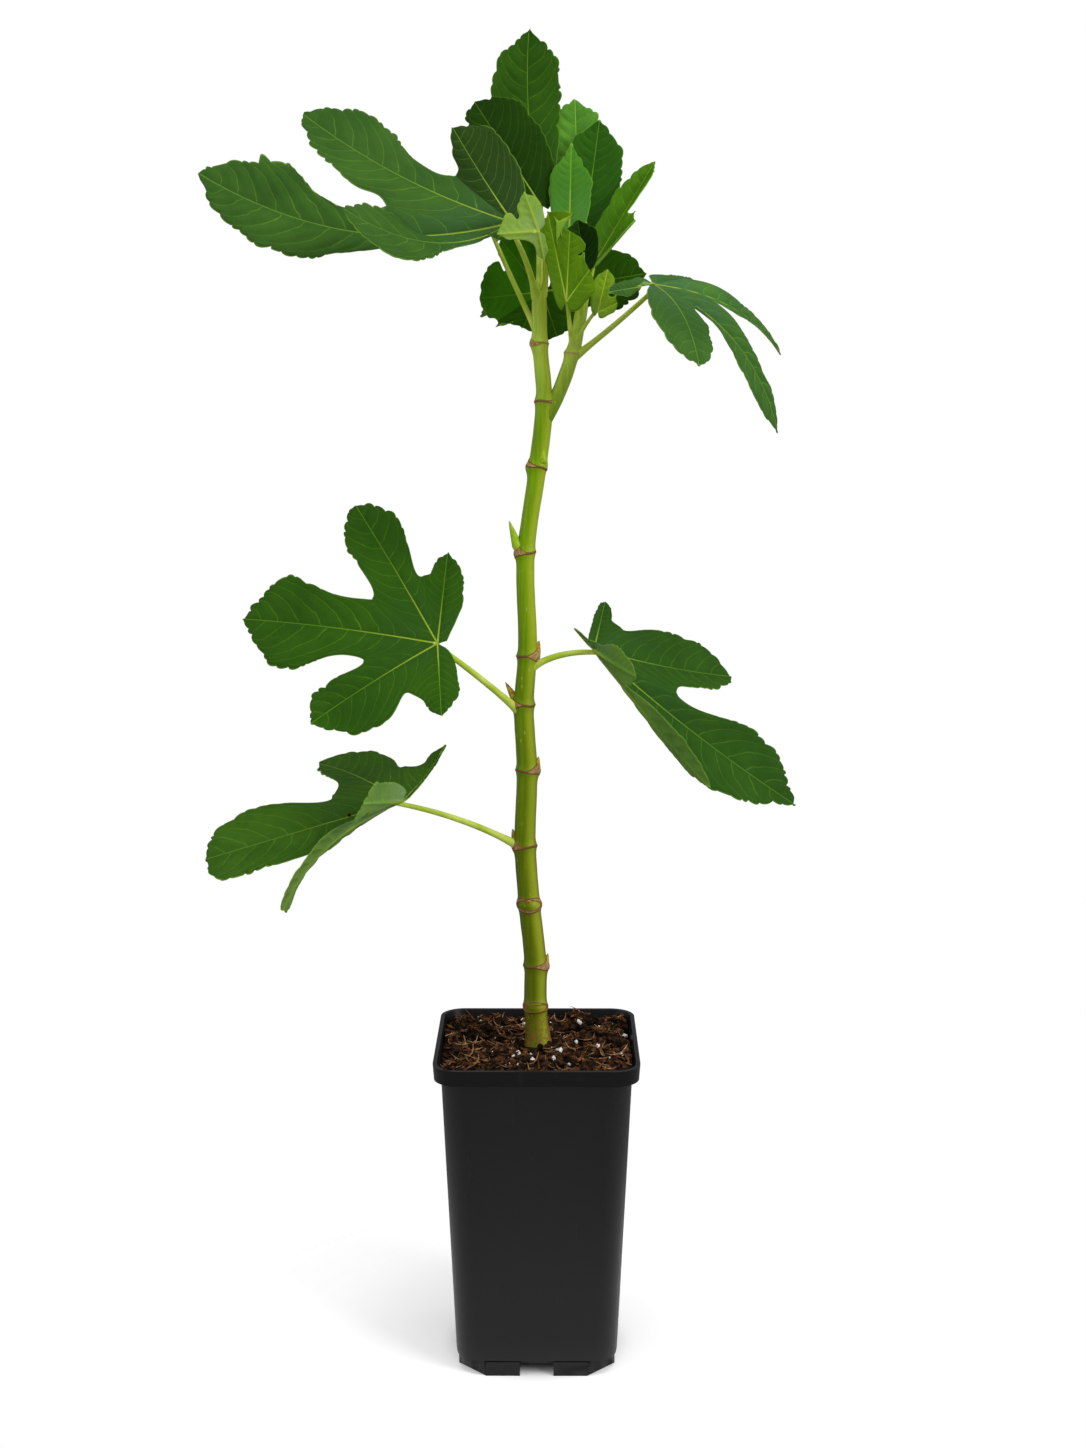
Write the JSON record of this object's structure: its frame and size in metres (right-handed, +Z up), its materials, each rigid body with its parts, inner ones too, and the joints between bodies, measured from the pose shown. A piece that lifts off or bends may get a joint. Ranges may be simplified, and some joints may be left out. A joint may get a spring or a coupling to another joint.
{
  "type": "fig tree in a pot",
  "caption": "Young single-stemmed fig tree with large lobed leaves and a forked leafy top, in a tall square nursery pot filled with potting mix.",
  "frame": {"origin": "centre of the pot's flat underside, on the floor", "axes": "+X to the right as seen from the front, +Y away to the back, +Z up the stem"},
  "size_m": [0.3657, 0.2543, 0.8449],
  "materials": {
    "pot": "matt black moulded plastic with a soft sheen",
    "soil": "loose dark brown peat mix with pale perlite grains",
    "stem": "smooth green bark with tan rings at the nodes",
    "shoot": "smooth fresh green bark",
    "leaf_mature": "satin dark green leaf with pale veins",
    "leaf_dark": "satin deep green leaf with pale veins",
    "leaf_fresh": "satin mid green leaf with pale veins",
    "leaf_young": "soft yellow-green young leaf"
  },
  "bodies": {
    "root": {"pot": "pot", "soil": "soil", "trunk": "stem", "side_shoot": "shoot", "leaf_low_left": "leaf_mature", "leaf_mid_left": "leaf_mature", "leaf_mid_right": "leaf_mature", "leaf_crown_left": "leaf_mature", "leaf_crown_right": "leaf_mature", "leaf_crown_top": "leaf_dark", "leaf_crown_dark": "leaf_dark", "leaf_crown_curl": "leaf_dark", "leaf_hanging": "leaf_dark", "leaf_crown_right_dark": "leaf_dark", "leaf_back_left": "leaf_mature", "leaf_back_right": "leaf_mature", "leaf_crown_mid": "leaf_fresh", "leaf_crown_backlit": "leaf_fresh", "leaf_crown_spear": "leaf_fresh", "leaf_young": "leaf_young", "leaf_tiny": "leaf_young", "leaf_pale": "leaf_young"}
  },
  "joints": []
}
